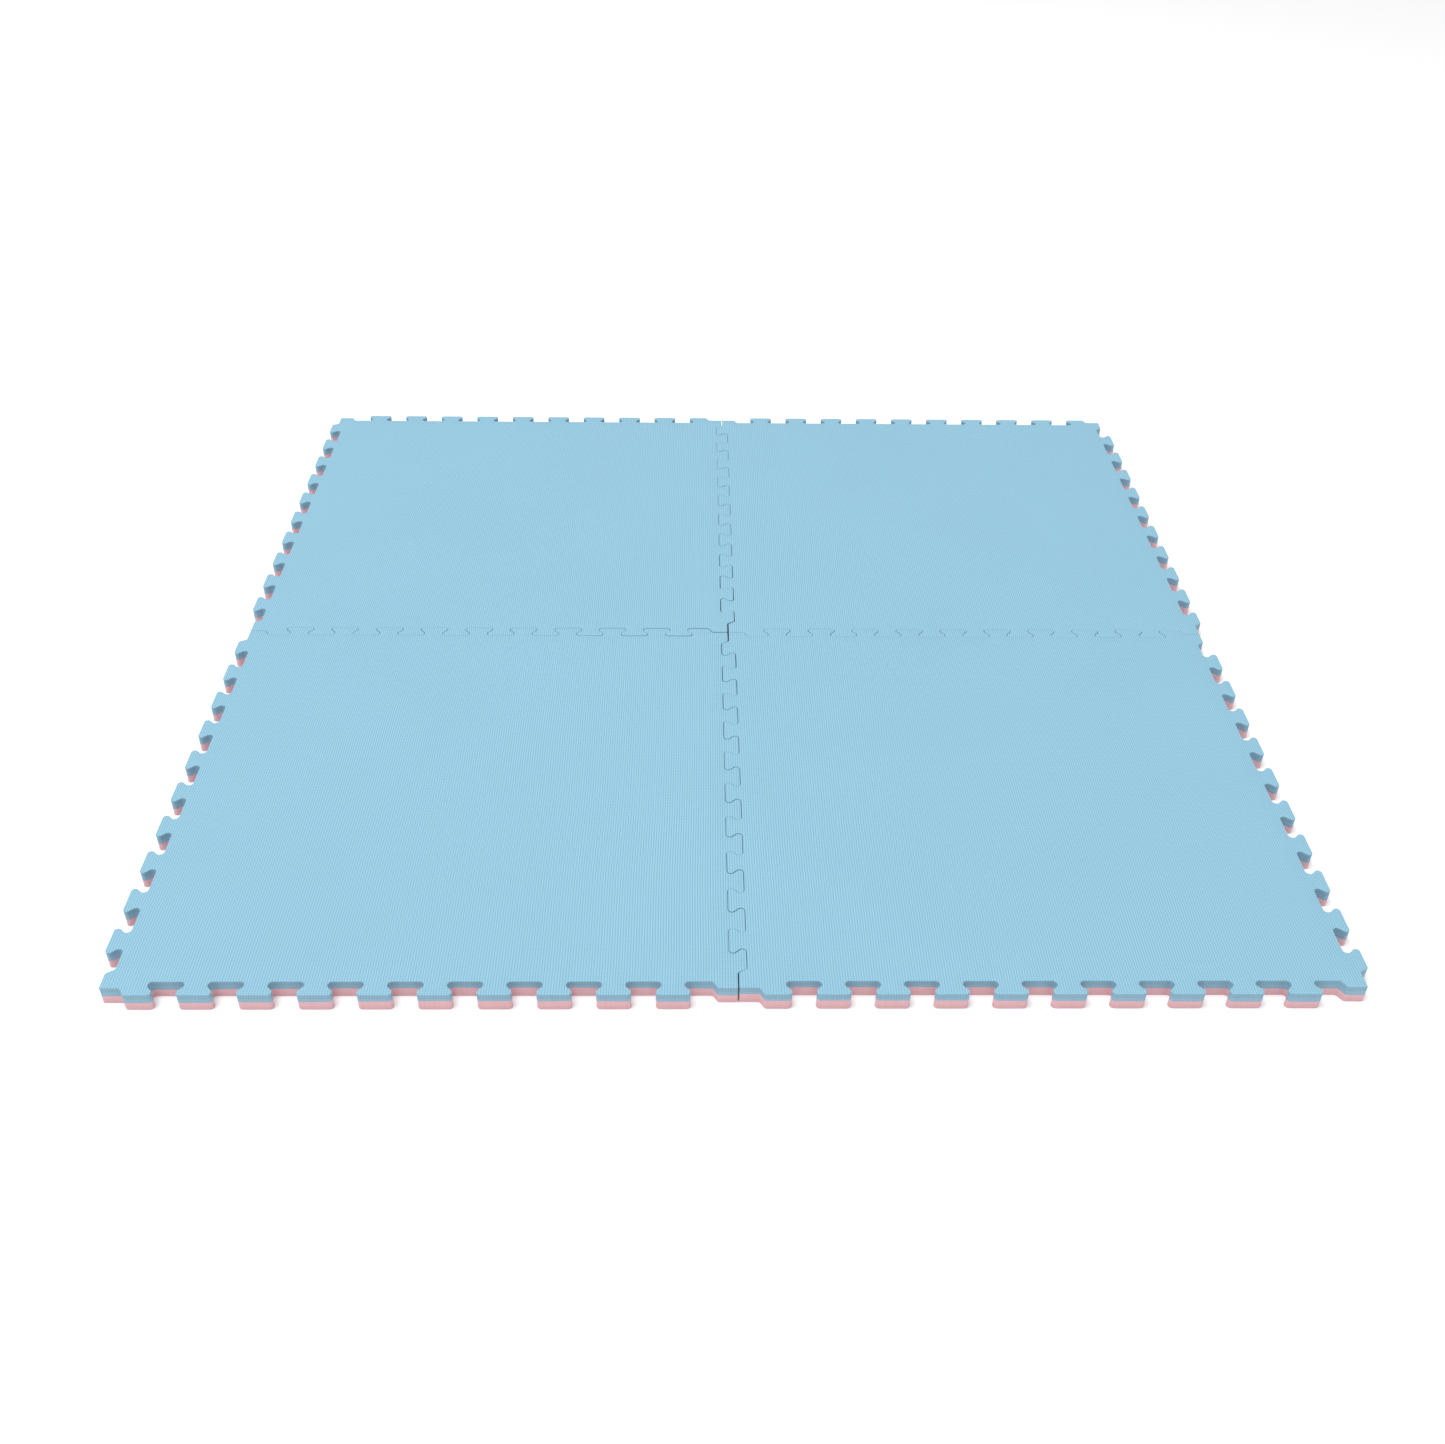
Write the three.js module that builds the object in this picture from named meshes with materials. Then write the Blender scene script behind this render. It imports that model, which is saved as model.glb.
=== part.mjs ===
// Blocking mats: square foam mats that lock edge to edge into one flat work surface.
//
// Each mat is a sandwich of two bonded foam layers with the same outline. The outline carries a
// row of dovetail tabs and slots on all four sides. Every side is the same path turned a quarter
// turn, and the path is point-symmetric about its middle, so any side of a mat locks into any side
// of another. Mats come apart by lifting one straight up.
//
// Millimetres, +Z up. The origin is the middle of the joined set, on the floor.

import * as THREE from 'three';

// The set
const MATS_PER_SIDE = 2;
const MAT_PITCH = 600; // from the middle of one mat to the middle of the next
const SEAM_GAP = 0.4; // clear space between two joined mats, all along the tabs
const CORNER_RELIEF = 0.3; // how much further back the plain corners of a mat are cut

// A mat
const BOTTOM_LAYER = 10;
const TOP_LAYER = 10;

// Its edge
const TABS_PER_EDGE = 10;
const TAB_PITCH = 56; // from one tab to the next
const TAB_DEPTH = 17; // from the front of a tab to the back of a slot
const LOBE_RADIUS = 4; // the round corner of a tab, and the round end of a slot behind it
const LOBE_SPREAD = 1.2; // how far each lobe's centre is from the middle of the flank, along the edge
const END_RADIUS = 3; // the bends of the plain step at each end of the row of tabs
const END_SPREAD = 4.2;
const END_STEP = 22.2; // from the corner of the mat to the middle of that step
const ARC_STEPS = 2; // straight steps in each bend

const LAYERS = [
  { name: 'bottom_layer', base: 0, height: BOTTOM_LAYER, color: 0xe3a9b3 },
  { name: 'top_layer', base: BOTTOM_LAYER, height: TOP_LAYER, color: 0x9ccfe4 },
];
const ROWS = ['front', 'back'];
const COLUMNS = ['left', 'right'];

const inset = SEAM_GAP / 2;

// Along an edge, x runs from one corner to the other with 0 in the middle, and out is the distance
// past the edge line, which passes half way between the fronts of the tabs and the backs of the slots.

// The bend pair that carries the outline from one level to another: out of the first level, round
// one lobe, straight across, round the other lobe, and on to the second level. A lobe that holds
// foam is inset from the cutting line, and so a little smaller, and one that holds air is larger.
function flank(x, fromOut, toOut, radius, spread) {
  const down = Math.sign(fromOut - toOut);
  const drop = Math.abs(fromOut - toOut) - 2 * radius;
  const between = Math.hypot(2 * spread, drop);
  const last = Math.atan2(-drop, 2 * spread) + Math.acos((2 * radius) / between);
  const lobes = [
    { x: x - spread, out: fromOut - down * radius, radius: radius - down * inset, way: 1 },
    { x: x + spread, out: toOut + down * radius, radius: radius + down * inset, way: -1 },
  ];
  return lobes.flatMap((lobe) => {
    const points = [];
    for (let i = 0; i <= ARC_STEPS; i += 1) {
      const share = lobe.way > 0 ? i / ARC_STEPS : 1 - i / ARC_STEPS;
      const angle = Math.PI / 2 + share * (last - Math.PI / 2);
      const reach = lobe.way * lobe.radius;
      points.push([lobe.x + reach * Math.cos(angle), lobe.out + down * reach * Math.sin(angle)]);
    }
    return points;
  });
}

// One edge, from corner to corner: the plain corner, a step out to the first tab, the flanks
// between tabs and slots, a step out of the last slot, and up to the next plain corner.
function edgePath() {
  const tabFront = TAB_DEPTH / 2;
  const slotBack = -TAB_DEPTH / 2;
  const plain = -CORNER_RELIEF;
  const half = MAT_PITCH / 2;
  const points = [[-half + inset - plain, plain - inset]];
  points.push(...flank(-half + END_STEP, plain, tabFront, END_RADIUS, END_SPREAD));
  const flanks = 2 * TABS_PER_EDGE - 1;
  for (let i = 0; i < flanks; i += 1) {
    const x = ((i - (flanks - 1) / 2) * TAB_PITCH) / 2;
    const levels = i % 2 === 0 ? [tabFront, slotBack] : [slotBack, tabFront];
    points.push(...flank(x, ...levels, LOBE_RADIUS, LOBE_SPREAD));
  }
  points.push(...flank(half - END_STEP, slotBack, plain, END_RADIUS, END_SPREAD));
  return points;
}

// The outline of a mat, seen from above: the same edge on each of its four sides.
function matOutline() {
  const edge = edgePath();
  const outline = [];
  for (let side = 0; side < 4; side += 1) {
    for (const [x, out] of edge) {
      const point = new THREE.Vector2(x, -MAT_PITCH / 2 - out);
      outline.push(point.rotateAround(new THREE.Vector2(), (side * Math.PI) / 2));
    }
  }
  return new THREE.Shape(outline);
}

// One foam layer, standing on z = 0 with the middle of the mat at the origin.
function foamLayer(outline, height, color) {
  const geometry = new THREE.ExtrudeGeometry(outline, { depth: height, bevelEnabled: false });
  const material = new THREE.MeshStandardMaterial({ color, roughness: 0.85, metalness: 0 });
  return new THREE.Mesh(geometry, material);
}

// One mat: its two layers, one on the other.
function foamMat(name, outline) {
  const mat = new THREE.Group();
  for (const layer of LAYERS) {
    const mesh = foamLayer(outline, layer.height, layer.color);
    mesh.name = `${name}_${layer.name}`;
    mesh.position.z = layer.base;
    mat.add(mesh);
  }
  return mat;
}

const set = new THREE.Group();
const outline = matOutline();
const middle = (MATS_PER_SIDE - 1) / 2;
ROWS.forEach((row, j) => {
  COLUMNS.forEach((column, i) => {
    const mat = foamMat(`${row}_${column}`, outline);
    mat.position.set((i - middle) * MAT_PITCH, (j - middle) * MAT_PITCH, 0);
    set.add(mat);
  });
});

export default set;
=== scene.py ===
"""Blocking mats: the looks of four two-layer foam mats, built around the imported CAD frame.

Every mat is two pieces, a blue top layer and a pink bottom layer. Each is a closed mesh with the
tabs and slots of the CAD outline in smooth arcs, cut walls that are a little hollow, edges that
are a little round, and a bond line that wanders. The faces carry an embossed weave.

Metres, +Z up, in the frame of the CAD model.
"""

import math

import bpy
import numpy as np
from mathutils import Matrix, Vector
from mathutils.geometry import delaunay_2d_cdt


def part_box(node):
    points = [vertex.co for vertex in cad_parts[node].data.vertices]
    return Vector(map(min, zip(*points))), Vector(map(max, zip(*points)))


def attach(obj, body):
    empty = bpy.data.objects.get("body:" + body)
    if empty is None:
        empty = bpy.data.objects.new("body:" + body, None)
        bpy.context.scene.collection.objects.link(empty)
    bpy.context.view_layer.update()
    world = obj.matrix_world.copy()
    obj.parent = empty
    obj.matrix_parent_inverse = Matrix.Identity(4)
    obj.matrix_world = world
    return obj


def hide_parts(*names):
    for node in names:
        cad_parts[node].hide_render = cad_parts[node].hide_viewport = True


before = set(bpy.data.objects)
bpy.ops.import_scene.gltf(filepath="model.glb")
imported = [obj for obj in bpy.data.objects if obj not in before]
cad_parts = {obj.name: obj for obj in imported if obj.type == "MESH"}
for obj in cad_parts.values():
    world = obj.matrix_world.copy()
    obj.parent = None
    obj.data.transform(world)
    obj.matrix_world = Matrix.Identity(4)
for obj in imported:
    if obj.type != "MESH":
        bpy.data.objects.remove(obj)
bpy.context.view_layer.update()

MM = 0.001

# The mats
MATS = ("front_left", "front_right", "back_left", "back_right")
MAT_PITCH = 600 * MM  # from the middle of one mat to the middle of the next
TABS_PER_EDGE = 10
TAB_PITCH = 56 * MM  # from one tab to the next
TAB_DEPTH = 17 * MM  # from the front of a tab to the back of a slot
LOBE_RADIUS = 4 * MM  # the round corner of a tab, and the round end of a slot behind it
LOBE_SPREAD = 1.2 * MM  # from the middle of a flank to each lobe's centre, along the edge
END_RADIUS = 3 * MM  # the bends of the plain step at each end of the row of tabs
END_SPREAD = 4.2 * MM
END_STEP = 22.2 * MM  # from the corner of the mat to the middle of that step

# How far back the plain corners are cut on the front, right, back and left side
CORNER_RELIEF = (0.1 * MM, 0.4 * MM, 0.1 * MM, 0.4 * MM)
CORNER_RADIUS = 1.0 * MM

# How finely the outline is drawn
ARC_STEPS = 8  # straight steps in each bend
CORNER_STEPS = 4  # straight steps in each corner
FLAT_STEP = 9 * MM  # the longest straight step along a flat stretch

# How each mat has settled in its play when they were pressed together: to the right, and back
SETTLED = {
    "front_left": (0.0, 0.0),
    "front_right": (-0.1 * MM, 0.42 * MM),
    "back_left": (0.0, -0.35 * MM),
    "back_right": (-0.2 * MM, 0.05 * MM),
}

# How far each mat's foam is drawn to the right, and back, at the point where the four mats meet
DRAWN = {
    "front_left": (-0.15 * MM, -0.1 * MM),
    "front_right": (0.25 * MM, -0.2 * MM),
    "back_left": (-0.2 * MM, 1.05 * MM),
    "back_right": (0.45 * MM, -0.1 * MM),
}
DRAWN_REACH = 190 * MM  # how far from that point it has fallen to about a third

# The walls. Insets are measured inwards from the cutting line
SEAM_INSET = 0.25 * MM
SEAM_INSET_VARIES = 0.025 * MM
SEAM_INSET_SWELL = 120 * MM  # how long the swells of that variation are
INSET_STEP = 0.5 * MM  # the change of inset that tells which way is inwards at each point
WALL_HOLLOW = 0.18 * MM
HOLLOW_SPAN = (0.35, 0.65)  # the hollow is full between these shares of a wall's height
BOND_GROOVE = 0.12 * MM
TOP_ROUND = 0.45 * MM
BOTTOM_ROUND = 0.6 * MM
ROUND_STEPS = 3
SHARP_ANGLE = math.radians(50)

# The bond line, where the two colours meet
BOND_WANDER = 0.9 * MM
BOND_WANDER_SWELL = 0.7
BOND_WANDER_MOST = 1.6  # times the wander
BOND_RIPPLE = 0.16 * MM
BOND_RIPPLE_SWELL = 60 * MM
BOND_RIPPLE_SEED = 50  # added to the mat's own seed

# The flat faces, and the places of a layer's two materials
CAP_GRID = 20 * MM
CAP_TOLERANCE = 1e-9  # points as near as this would be merged
CUT = 0
FACE = 1

# The embossed weave
THREAD_PITCH = 2.6 * MM
THREAD_TAPER = 0.35  # the lower, the more suddenly a thread dips at its ends
WEFT_HEIGHT = 0.75  # how high a weft thread stands, where a warp thread stands 1
RIB = 0.4  # how much of the relief is plain ribs along the warp
VALLEY_SHADE_TO = 0.75  # the weave's height at which the painted shade in its valleys has gone
WEAVE_DEPTH = 0.36 * MM
WEAVE_TURN = 0.5  # degrees, the most that it is turned on a mat
WEAVE_TURN_PHASE = 2.3  # radians, from one mat's turn to the next one's
WEAVE_STRAY = 0.5 * MM
WEAVE_STRAY_SWELL = 250 * MM
WEAVE_STRAY_SEEDS = (90, 91)  # added to the mat's own seed, for x and y

# The skin. The patches, grain and wear are noises, so many to a metre
NOISE_SPAN = (0.3, 0.7)  # where nearly all the values of a noise lie
PATCHES = 6.0
PATCH_STRENGTH = 0.35
PATCH_TONE = 0.93  # how bright a patch is, where the rest is 1
GRAIN = 900.0
GRAIN_STRENGTH = 0.12  # as a share of the weave's depth
WEAR = 25.0
WEAR_ROUGHNESS = 0.05  # more or less
FACE_ROUGHNESS = 0.72
FACE_SPECULAR = 0.3

# The specks of dirt
SPECK_CELLS = 11.0  # cells to a metre, each with a speck or without
SPECK_FREE = 0.86  # the share of the cells without
SPECK_SPAN = (0.014, 0.026)  # cells from its middle where a speck starts to fade, and where it ends
SPECK_STRENGTH = 0.7
SPECK_COLOUR = (0.05, 0.06, 0.07, 1)

# The cut walls. The cells, blotches and streaks are so many to a metre
CELLS = 1400.0
BLOTCHES = 40.0
STREAKS = 420.0
STREAK_SPAN = (0.35, 0.65)
STREAK_SQUEEZE = (1.0, 1.0, 0.08)  # which makes them long up and down
STREAK_DEPTH = 0.6  # as a share of a cell's
MARK_STRENGTH = 0.3  # of each of the three
MARK_TONE = 0.86  # how bright the wall is where there are none of them
SHADE_BLEND = 0.4 * MM  # half the height over which a wall's painted shade changes
CUT_DEPTH = 0.1 * MM
CUT_BUMP = 0.7
CUT_ROUGHNESS = 0.86
CUT_ROUGHNESS_VARIES = 0.04
CUT_SPECULAR = 1.0
CUT_IOR = 1.65

# The stage and its light
FLOOR_REACH = 20.0
FLOOR_COLOUR = (0.93, 0.93, 0.93, 1)
FLOOR_ROUGHNESS = 0.9
ROOM_COLOUR = (1.0, 1.0, 1.0, 1)
ROOM_STRENGTH = 0.72
LAMP_AT = Vector((-1.7, -1.2, 7.8))
LAMP_SIZE = 5.0
LAMP_POWER = 440

# The camera
CAMERA_AT = Vector((-0.0438, -1.5628, 1.0717))
CAMERA_DOWN = math.radians(37.38)
CAMERA_TURN = math.radians(-1.42)
CAMERA_ROLL = math.radians(1.02)
CAMERA_LENS = 37.09  # in millimetres, as the sensor is
CAMERA_SENSOR = 36
CAMERA_SEES_TO = 100


# ---------------------------------------------------------------- outline

def flank(x, from_out, to_out, radius, spread, inset):
    """The bend pair that carries the outline from one level to another.

    It goes out of the first level, round one lobe, straight across, and round the other lobe. A
    lobe that holds foam shrinks by the inset, and one that holds air grows by it.
    """
    down = math.copysign(1, from_out - to_out)
    drop = abs(from_out - to_out) - 2 * radius
    between = math.hypot(2 * spread, drop)
    last = math.atan2(-drop, 2 * spread) + math.acos(2 * radius / between)
    lobes = (
        (x - spread, from_out - down * radius, radius - down * inset, 1),
        (x + spread, to_out + down * radius, radius + down * inset, -1),
    )
    points = []
    for lobe_x, lobe_out, lobe_radius, way in lobes:
        for i in range(ARC_STEPS + 1):
            share = i / ARC_STEPS if way > 0 else 1 - i / ARC_STEPS
            angle = math.pi / 2 + share * (last - math.pi / 2)
            reach = way * lobe_radius
            points.append((lobe_x + reach * math.cos(angle), lobe_out + down * reach * math.sin(angle)))
    return points


def corner(side, inset):
    """The rounded plain corner that an edge begins with, from the side before it to its own side."""
    middle_x = -MAT_PITCH / 2 + CORNER_RELIEF[side - 1] + CORNER_RADIUS
    middle_out = -CORNER_RELIEF[side] - CORNER_RADIUS
    radius = CORNER_RADIUS - inset
    points = []
    for i in range(CORNER_STEPS + 1):
        angle = math.pi - i / CORNER_STEPS * math.pi / 2
        points.append((middle_x + radius * math.cos(angle), middle_out + radius * math.sin(angle)))
    return points


def edge_path(side, inset):
    """One edge from corner to corner, as (distance along it, distance out past the edge line)."""
    half = MAT_PITCH / 2
    front = TAB_DEPTH / 2
    back = -TAB_DEPTH / 2
    plain = -CORNER_RELIEF[side]
    points = corner(side, inset)
    points += flank(-half + END_STEP, plain, front, END_RADIUS, END_SPREAD, inset)
    flanks = 2 * TABS_PER_EDGE - 1
    for i in range(flanks):
        x = (i - (flanks - 1) / 2) * TAB_PITCH / 2
        levels = (front, back) if i % 2 == 0 else (back, front)
        points += flank(x, *levels, LOBE_RADIUS, LOBE_SPREAD, inset)
    points += flank(half - END_STEP, back, plain, END_RADIUS, END_SPREAD, inset)
    return points


def outline(inset):
    """The corners of a mat's outline about its own middle, anticlockwise from the front left."""
    points = []
    for side in range(4):
        cosine = round(math.cos(side * math.pi / 2))
        sine = round(math.sin(side * math.pi / 2))
        for x, out in edge_path(side, inset):
            y = -MAT_PITCH / 2 - out
            points.append((cosine * x - sine * y, sine * x + cosine * y))
    return np.array(points)


def flat_steps(points):
    """How many straight steps each side of an outline is cut into."""
    ahead = np.roll(points, -1, axis=0) - points
    return np.maximum(1, np.ceil(np.hypot(*ahead.T) / FLAT_STEP)).astype(int)


def stepped(points, steps):
    """The outline again, with every side cut into its own number of steps."""
    rows = []
    for start, end, count in zip(points, np.roll(points, -1, axis=0), steps):
        shares = np.arange(count) / count
        rows.append(start + (end - start) * shares[:, None])
    return np.vstack(rows)


# ---------------------------------------------------------------- unevenness

def ripple(points, wavelength, seed, waves=6):
    """A smooth uneven height, mostly from -1 to 1, with swells about a wavelength long."""
    draw = np.random.default_rng(seed)
    total = np.zeros(len(points))
    for _ in range(waves):
        turn, phase = draw.uniform(0, 2 * math.pi, 2)
        length = wavelength * draw.uniform(0.7, 1.5)
        along = points[:, 0] * math.cos(turn) + points[:, 1] * math.sin(turn)
        total += np.sin(2 * math.pi * along / length + phase)
    return total / math.sqrt(waves)


def bond_height(points, middle, seed):
    """How high the bond line between the two layers runs at each point."""
    slow = ripple(points, BOND_WANDER_SWELL, seed)
    quick = ripple(points, BOND_RIPPLE_SWELL, seed + BOND_RIPPLE_SEED)
    wander = BOND_WANDER * np.clip(slow, -BOND_WANDER_MOST, BOND_WANDER_MOST)
    return middle + wander + BOND_RIPPLE * quick


def heights(height, points):
    """The height at each point, where height is one number or a function of the points."""
    return height(points) if callable(height) else np.full(len(points), height)


# ---------------------------------------------------------------- meshes

class Layer:
    """Collects the rings of points of one foam layer, from its lower face to its upper one."""

    def __init__(self, mat, centre, seed):
        self.centre = np.array(centre)
        self.seed = seed
        self.settled = np.array(SETTLED[mat])
        self.drawn = np.array(DRAWN[mat])
        self.steps = flat_steps(outline(SEAM_INSET))
        cutting_line = stepped(outline(0.0), self.steps) + self.centre
        self.varies = SEAM_INSET_VARIES * ripple(cutting_line, SEAM_INSET_SWELL, seed)
        self.rings = []

    def plan(self, inset):
        """The outline at this inset, in its place in the set, with the foam's own unevenness."""
        near = stepped(outline(inset), self.steps)
        far = stepped(outline(inset + INSET_STEP), self.steps)
        own = near + (far - near) * (self.varies / INSET_STEP)[:, None]
        placed = own + self.centre
        near_middle = np.exp(-((placed / DRAWN_REACH) ** 2).sum(1))
        return placed + self.settled + near_middle[:, None] * self.drawn

    def ring(self, inset, height):
        """Adds a ring. height is a number, or a function of the points."""
        points = self.plan(inset)
        self.rings.append(np.column_stack([points, heights(height, points)]))


def rounded_edge(face_height, radius, outward):
    """The inset and height of each ring of a rounded edge, from the wall round to the face.

    outward is 1 for an upper face, and -1 for a lower one.
    """
    rings = []
    for i in range(ROUND_STEPS + 1):
        angle = math.pi / 2 * i / ROUND_STEPS
        inset = SEAM_INSET + radius * (1 - math.cos(angle))
        rings.append((inset, face_height - radius * (1 - math.sin(angle)) * outward))
    return rings


def cap_points(ring):
    """Points of a square grid that lie well inside a ring, so that a face can follow a swell."""
    centre = ring[:, :2].mean(0)
    half = MAT_PITCH / 2 - TAB_DEPTH
    count = int(2 * half // CAP_GRID)
    line = np.linspace(-half + CAP_GRID / 2, half - CAP_GRID / 2, count)
    x, y = np.meshgrid(line, line)
    return np.column_stack([x.ravel(), y.ravel()]) + centre


def cap(ring):
    """Triangles that fill a ring: the added inner points, and corners numbered ring first."""
    inner = cap_points(ring)
    points = [Vector(point) for point in np.vstack([ring[:, :2], inner])]
    border = list(range(len(ring)))
    verts, _, faces, origins = delaunay_2d_cdt(points, [], [border], 1, CAP_TOLERANCE)[:4]
    if len(verts) != len(points):
        raise RuntimeError("the outline crosses itself")
    number = [sources[0] for sources in origins]
    return inner, [[number[i] for i in face] for face in faces]


def wall_faces(rings, face_at):
    """The quads between each ring and the next, and the material of each quad."""
    count = len(rings[0])
    gaps = len(rings) - 1
    faces = []
    materials = []
    for gap in range(gaps):
        low = gap * count
        high = low + count
        rounded = gap >= gaps - ROUND_STEPS if face_at == "top" else gap < ROUND_STEPS
        for i in range(count):
            j = (i + 1) % count
            faces.append((low + i, low + j, high + j, high + i))
            materials.append(FACE if rounded else CUT)
    return faces, materials


def linked(name, data):
    """A new object of this data, in the scene."""
    made = bpy.data.objects.new(name, data)
    bpy.context.scene.collection.objects.link(made)
    return made


def build(name, layer, face_at, face_height, hidden_height, foam):
    """A closed mesh from a layer's rings. face_at is the end that shows, "top" or "bottom"."""
    rings = layer.rings
    count = len(rings[0])
    total = len(rings) * count
    verts = [np.vstack(rings)]
    faces, materials = wall_faces(rings, face_at)
    for end, ring, first in (("bottom", rings[0], 0), ("top", rings[-1], total - count)):
        shown = end == face_at
        inner, triangles = cap(ring)
        z = heights(face_height if shown else hidden_height, inner)
        verts.append(np.column_stack([inner, z]))
        for triangle in triangles:
            corners = [first + i if i < count else total + i - count for i in triangle]
            faces.append(corners if end == "top" else corners[::-1])
            materials.append(FACE if shown else CUT)
        total += len(inner)
    mesh = bpy.data.meshes.new(name)
    mesh.from_pydata(np.vstack(verts).tolist(), [], faces)
    for material in foam:
        mesh.materials.append(material)
    mesh.polygons.foreach_set("material_index", materials)
    mesh.polygons.foreach_set("use_smooth", [True] * len(faces))
    mesh.set_sharp_from_angle(angle=SHARP_ANGLE)
    mesh.validate()
    weave_map(mesh, layer)
    return linked(name, mesh)


def weave_map(mesh, layer):
    """A UV map in metres for the weave, turned and warped a little on each mat."""
    places = np.zeros(len(mesh.vertices) * 3)
    mesh.vertices.foreach_get("co", places)
    plan = places.reshape(-1, 3)[:, :2] - layer.centre
    turn = math.radians(WEAVE_TURN * math.sin(layer.seed * WEAVE_TURN_PHASE))
    x = math.cos(turn) * plan[:, 0] - math.sin(turn) * plan[:, 1]
    y = math.sin(turn) * plan[:, 0] + math.cos(turn) * plan[:, 1]
    strays = [ripple(plan, WEAVE_STRAY_SWELL, layer.seed + more) for more in WEAVE_STRAY_SEEDS]
    uv = np.column_stack([x, y]) + WEAVE_STRAY * np.column_stack(strays)
    corners = np.zeros(len(mesh.loops), np.int32)
    mesh.loops.foreach_get("vertex_index", corners)
    mesh.uv_layers.new(name="weave").data.foreach_set("uv", uv[corners].ravel().astype(np.float32))


def top_layer(name, mat, node, seed, foam):
    """The blue layer, from the bond line up to the embossed face."""
    low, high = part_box(node)
    layer = Layer(mat, ((low + high) / 2).xy, seed)
    shoulder = high.z - TOP_ROUND

    def bond(points):
        return bond_height(points, low.z, seed)

    def part_way(share):
        return lambda points: bond(points) + share * (shoulder - bond(points))

    layer.ring(SEAM_INSET + BOND_GROOVE, bond)
    layer.ring(SEAM_INSET, lambda points: bond(points) + 2 * BOND_GROOVE)
    for share in HOLLOW_SPAN:
        layer.ring(SEAM_INSET + WALL_HOLLOW, part_way(share))
    for inset, height in rounded_edge(high.z, TOP_ROUND, 1):
        layer.ring(inset, height)
    return build(name, layer, "top", high.z, bond, foam)


def bottom_layer(name, mat, node, seed, foam):
    """The pink layer, from the floor up to the bond line."""
    low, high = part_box(node)
    layer = Layer(mat, ((low + high) / 2).xy, seed)
    foot = low.z + BOTTOM_ROUND

    def bond(points):
        return bond_height(points, high.z, seed)

    def part_way(share):
        return lambda points: foot + share * (bond(points) - foot)

    for inset, height in reversed(rounded_edge(low.z, BOTTOM_ROUND, -1)):
        layer.ring(inset, height)
    for share in HOLLOW_SPAN:
        layer.ring(SEAM_INSET + WALL_HOLLOW, part_way(share))
    layer.ring(SEAM_INSET, lambda points: bond(points) - 2 * BOND_GROOVE)
    layer.ring(SEAM_INSET + BOND_GROOVE, bond)
    return build(name, layer, "bottom", low.z, bond, foam)


# ---------------------------------------------------------------- materials

class Nodes:
    """A new material, with short ways to add and join its shader nodes."""

    def __init__(self, name):
        self.material = bpy.data.materials.new(name)
        self.material.use_nodes = True
        self.tree = self.material.node_tree
        self.shader = self.tree.nodes["Principled BSDF"]

    def feed(self, node, key, value):
        """Gives an input of a node a value, or joins another node's output to it."""
        if isinstance(value, bpy.types.NodeSocket):
            self.tree.links.new(value, node.inputs[key])
        else:
            node.inputs[key].default_value = value

    def add(self, kind, inputs=None, **settings):
        node = self.tree.nodes.new(kind)
        for key, value in settings.items():
            setattr(node, key, value)
        for key, value in (inputs or {}).items():
            self.feed(node, key, value)
        return node

    def finish(self, inputs):
        """Feeds the shader itself, and gives the material."""
        for key, value in inputs.items():
            self.feed(self.shader, key, value)
        return self.material

    def math(self, operation, a, b=0.0):
        return self.add("ShaderNodeMath", {0: a, 1: b}, operation=operation).outputs[0]

    def mix(self, share, a, b):
        """The colour a, with this share of it replaced by b."""
        return self.add("ShaderNodeMix", {0: share, 6: a, 7: b}, data_type="RGBA").outputs[2]

    def noise(self, where, scale, detail=2.0):
        inputs = {"Vector": where, "Scale": scale, "Detail": detail}
        return self.add("ShaderNodeTexNoise", inputs).outputs["Fac"]

    def cells(self, where, scale):
        """Uneven cells: the distance from the middle of each, and a colour of its own."""
        return self.add("ShaderNodeTexVoronoi", {"Vector": where, "Scale": scale}, feature="F1").outputs

    def span(self, value, low, high, to_low=0.0, to_high=1.0):
        """A value carried over from one range to another, and held inside it."""
        ends = {"From Min": low, "From Max": high, "To Min": to_low, "To Max": to_high}
        return self.add("ShaderNodeMapRange", {"Value": value, **ends}).outputs["Result"]

    def bump(self, height, depth, strength):
        inputs = {"Height": height, "Distance": depth, "Strength": strength}
        return self.add("ShaderNodeBump", inputs).outputs[0]

    def place(self):
        return self.add("ShaderNodeTexCoord").outputs["Object"]


def dimmed(colour, brightness):
    """A colour at this share of its brightness."""
    return [brightness * channel for channel in colour[:3]] + [1]


def weave(nodes):
    """The height of the embossed plain weave, from 0 between threads to 1 on top of one."""
    uv = nodes.add("ShaderNodeUVMap", uv_map="weave").outputs[0]
    split = nodes.add("ShaderNodeSeparateXYZ", {0: uv})
    turn = math.pi / THREAD_PITCH
    waves = [nodes.math("SINE", nodes.math("MULTIPLY", split.outputs[i], turn)) for i in (0, 1)]
    across, along = (nodes.math("ABSOLUTE", wave) for wave in waves)
    warp = nodes.math("MULTIPLY", across, nodes.math("POWER", along, THREAD_TAPER))
    weft = nodes.math("MULTIPLY", along, nodes.math("POWER", across, THREAD_TAPER))
    warp_height = nodes.math("GREATER_THAN", nodes.math("MULTIPLY", *waves), 0.0)
    weft_lost = nodes.math("MULTIPLY", warp_height, WEFT_HEIGHT)
    weft_height = nodes.math("SUBTRACT", WEFT_HEIGHT, weft_lost)
    warp_up = nodes.math("MULTIPLY", warp, warp_height)
    weft_up = nodes.math("MULTIPLY", weft, weft_height)
    woven = nodes.math("MULTIPLY", nodes.math("ADD", warp_up, weft_up), 1 - RIB)
    return nodes.math("ADD", nodes.math("MULTIPLY", across, RIB), woven)


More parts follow.
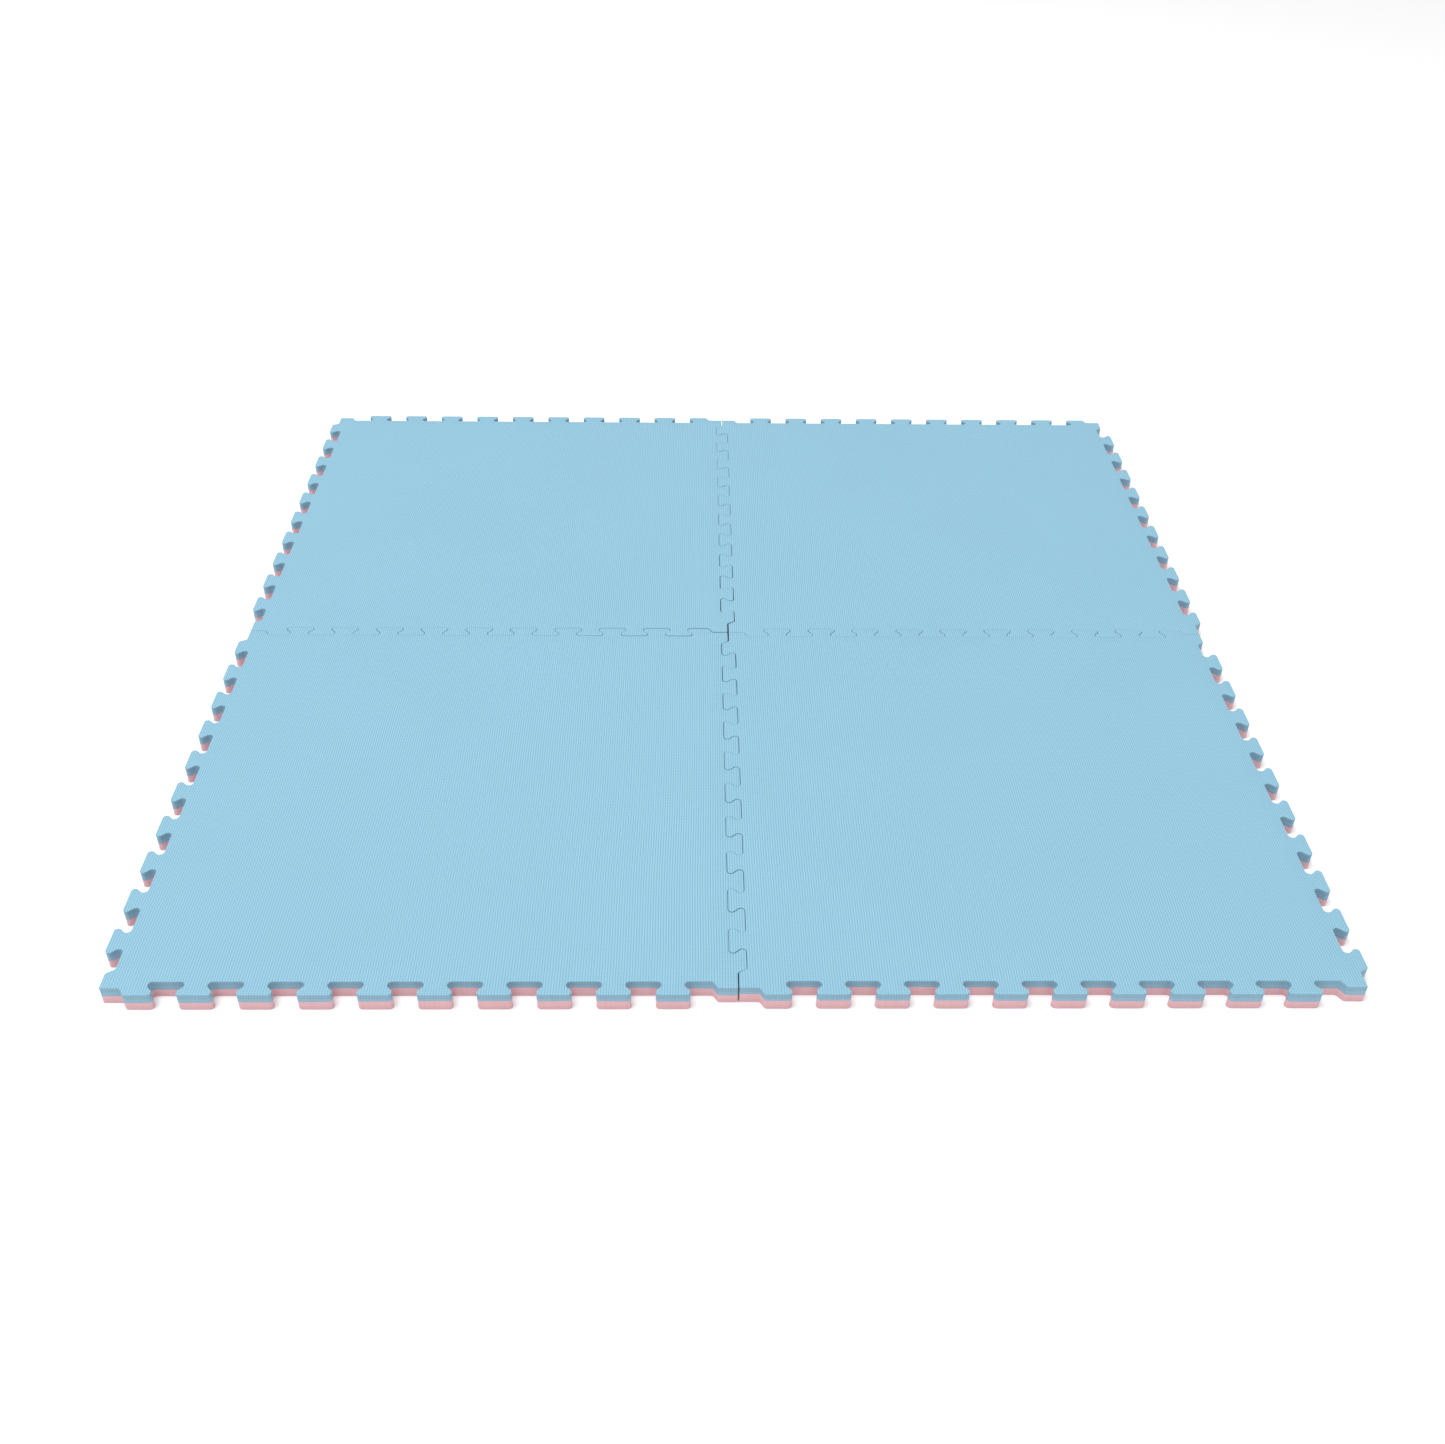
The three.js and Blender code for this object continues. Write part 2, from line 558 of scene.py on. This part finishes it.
def specks(nodes):
    """1 on a few tiny specks of dirt, 0 elsewhere."""
    cells = nodes.cells(nodes.place(), SPECK_CELLS)
    red = nodes.add("ShaderNodeSeparateColor", {0: cells["Color"]}).outputs[0]
    picked = nodes.math("GREATER_THAN", red, SPECK_FREE)
    return nodes.math("MULTIPLY", picked, nodes.span(cells["Distance"], *SPECK_SPAN, 1.0, 0.0))


def face_material(name, colour, valley_shade):
    """Foam skin: an embossed weave with painted shade in its valleys, slow shifts of colour, and a few
    specks.
    """
    nodes = Nodes(name)
    height = weave(nodes)
    patch = nodes.span(nodes.noise(nodes.place(), PATCHES, 3.0), *NOISE_SPAN)
    patch_share = nodes.math("MULTIPLY", patch, PATCH_STRENGTH)
    tone = nodes.mix(patch_share, colour, dimmed(colour, PATCH_TONE))
    # painted shade: the colour darkens where the weave is low, in its valleys
    shaded_relief = nodes.mix(nodes.span(height, 0.0, VALLEY_SHADE_TO), valley_shade, tone)
    dirt = nodes.math("MULTIPLY", specks(nodes), SPECK_STRENGTH)
    grain = nodes.math("MULTIPLY", nodes.noise(nodes.place(), GRAIN, 3.0), GRAIN_STRENGTH)
    wear = nodes.noise(nodes.place(), WEAR)
    smoothest = FACE_ROUGHNESS - WEAR_ROUGHNESS
    roughest = FACE_ROUGHNESS + WEAR_ROUGHNESS
    return nodes.finish({
        "Base Color": nodes.mix(dirt, shaded_relief, SPECK_COLOUR),
        "Normal": nodes.bump(nodes.math("ADD", height, grain), WEAVE_DEPTH, 1.0),
        "Roughness": nodes.span(wear, *NOISE_SPAN, smoothest, roughest),
        "Specular IOR Level": FACE_SPECULAR,
    })


def cut_material(name, colour, shade_height, shade_above, shade_below):
    """Die-cut foam: fine open cells and faint streaks, and painted shade that changes part way up.

    The last two arguments are how bright the wall is painted over and under that height.
    """
    nodes = Nodes(name)
    place = nodes.place()
    cell = nodes.span(nodes.cells(place, CELLS)["Distance"], 0.0, 0.7)
    blotch = nodes.span(nodes.noise(place, BLOTCHES, 3.0), *NOISE_SPAN)
    squeezed = nodes.add("ShaderNodeMapping", {"Vector": place, "Scale": STREAK_SQUEEZE})
    streak = nodes.span(nodes.noise(squeezed.outputs[0], STREAKS), *STREAK_SPAN)
    marks = nodes.math("ADD", nodes.math("ADD", cell, blotch), streak)
    mark_share = nodes.math("MULTIPLY", marks, MARK_STRENGTH)
    marked = nodes.mix(mark_share, dimmed(colour, MARK_TONE), colour)
    z = nodes.add("ShaderNodeSeparateXYZ", {0: place}).outputs[2]
    # painted shade: the wall's brightness changes from its lower to its upper part at this height
    tone = nodes.span(z, shade_height - SHADE_BLEND, shade_height + SHADE_BLEND, shade_below, shade_above)
    shaded = nodes.add("ShaderNodeHueSaturation", {"Color": marked, "Value": tone})
    height = nodes.math("ADD", cell, nodes.math("MULTIPLY", streak, STREAK_DEPTH))
    smoothest = CUT_ROUGHNESS - CUT_ROUGHNESS_VARIES
    roughest = CUT_ROUGHNESS + CUT_ROUGHNESS_VARIES
    return nodes.finish({
        "Base Color": shaded.outputs[0],
        "Normal": nodes.bump(height, CUT_DEPTH, CUT_BUMP),
        "Roughness": nodes.span(blotch, 0.0, 1.0, smoothest, roughest),
        "Specular IOR Level": CUT_SPECULAR,
        "IOR": CUT_IOR,
    })


def floor_material():
    """A plain white floor, with no gloss."""
    return Nodes("floor").finish({
        "Base Color": FLOOR_COLOUR,
        "Roughness": FLOOR_ROUGHNESS,
        "Specular IOR Level": 0.0,
    })


# the second colour of each face is painted shade, for the valleys of its weave
BLUE_FACE = face_material(
    "blue_foam_face", colour=(0.294, 0.518, 0.643, 1), valley_shade=(0.155, 0.37, 0.515, 1)
)
PINK_FACE = face_material(
    "pink_foam_face", colour=(0.66, 0.37, 0.4, 1), valley_shade=(0.5, 0.25, 0.28, 1)
)
# painted shade: the blue wall is painted darker over its upper part, under the top edge
BLUE_CUT = cut_material(
    "blue_foam_cut", (0.22, 0.42, 0.555, 1), shade_height=14 * MM, shade_above=0.94, shade_below=1.06
)
# painted shade: the pink wall is painted darker over its lowest part, near the floor
PINK_CUT = cut_material(
    "pink_foam_cut", (0.73, 0.41, 0.443, 1), shade_height=5 * MM, shade_above=1.03, shade_below=0.97
)


# ---------------------------------------------------------------- the mats

for seed, mat in enumerate(MATS, start=1):
    layers = (
        (top_layer, f"{mat}_top_layer", "blue_foam", (BLUE_CUT, BLUE_FACE)),
        (bottom_layer, f"{mat}_bottom_layer", "pink_foam", (PINK_CUT, PINK_FACE)),
    )
    for make, node, slot_name, foam in layers:
        piece = make(f"{node}_foam", mat, node, seed, foam)
        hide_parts(node)
        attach(piece, f"{mat}_mat")


# ---------------------------------------------------------------- stage, light and camera

def make_floor():
    """A white floor, far wider than the set."""
    reach = FLOOR_REACH
    corners = [(-reach, -reach, 0), (reach, -reach, 0), (reach, reach, 0), (-reach, reach, 0)]
    mesh = bpy.data.meshes.new("floor")
    mesh.from_pydata(corners, [], [(0, 1, 2, 3)])
    mesh.materials.append(floor_material())
    floor = linked("floor", mesh)


def make_light():
    """A bright even room, and one wide soft lamp far overhead."""
    world = bpy.data.worlds.new("studio")
    world.use_nodes = True
    room = world.node_tree.nodes["Background"]
    room.inputs["Color"].default_value = ROOM_COLOUR
    room.inputs["Strength"].default_value = ROOM_STRENGTH
    bpy.context.scene.world = world
    lamp = bpy.data.lights.new("overhead", "AREA")
    lamp.shape = "DISK"
    lamp.size = LAMP_SIZE
    lamp.energy = LAMP_POWER
    holder = linked("overhead", lamp)
    holder.location = LAMP_AT
    holder.rotation_euler = (-LAMP_AT).to_track_quat("-Z", "Y").to_euler()


def make_camera():
    """A camera in front of the set, looking down on it."""
    data = bpy.data.cameras.new("camera")
    data.lens = CAMERA_LENS
    data.sensor_width = CAMERA_SENSOR
    data.clip_end = CAMERA_SEES_TO
    camera = linked("camera", data)
    turn = (
        Matrix.Rotation(CAMERA_TURN, 4, "Z")
        @ Matrix.Rotation(math.pi / 2 - CAMERA_DOWN, 4, "X")
        @ Matrix.Rotation(CAMERA_ROLL, 4, "Z")
    )
    camera.matrix_world = Matrix.Translation(CAMERA_AT) @ turn
    bpy.context.scene.camera = camera


make_floor()
make_light()
make_camera()
bpy.context.scene.view_settings.view_transform = "Standard"
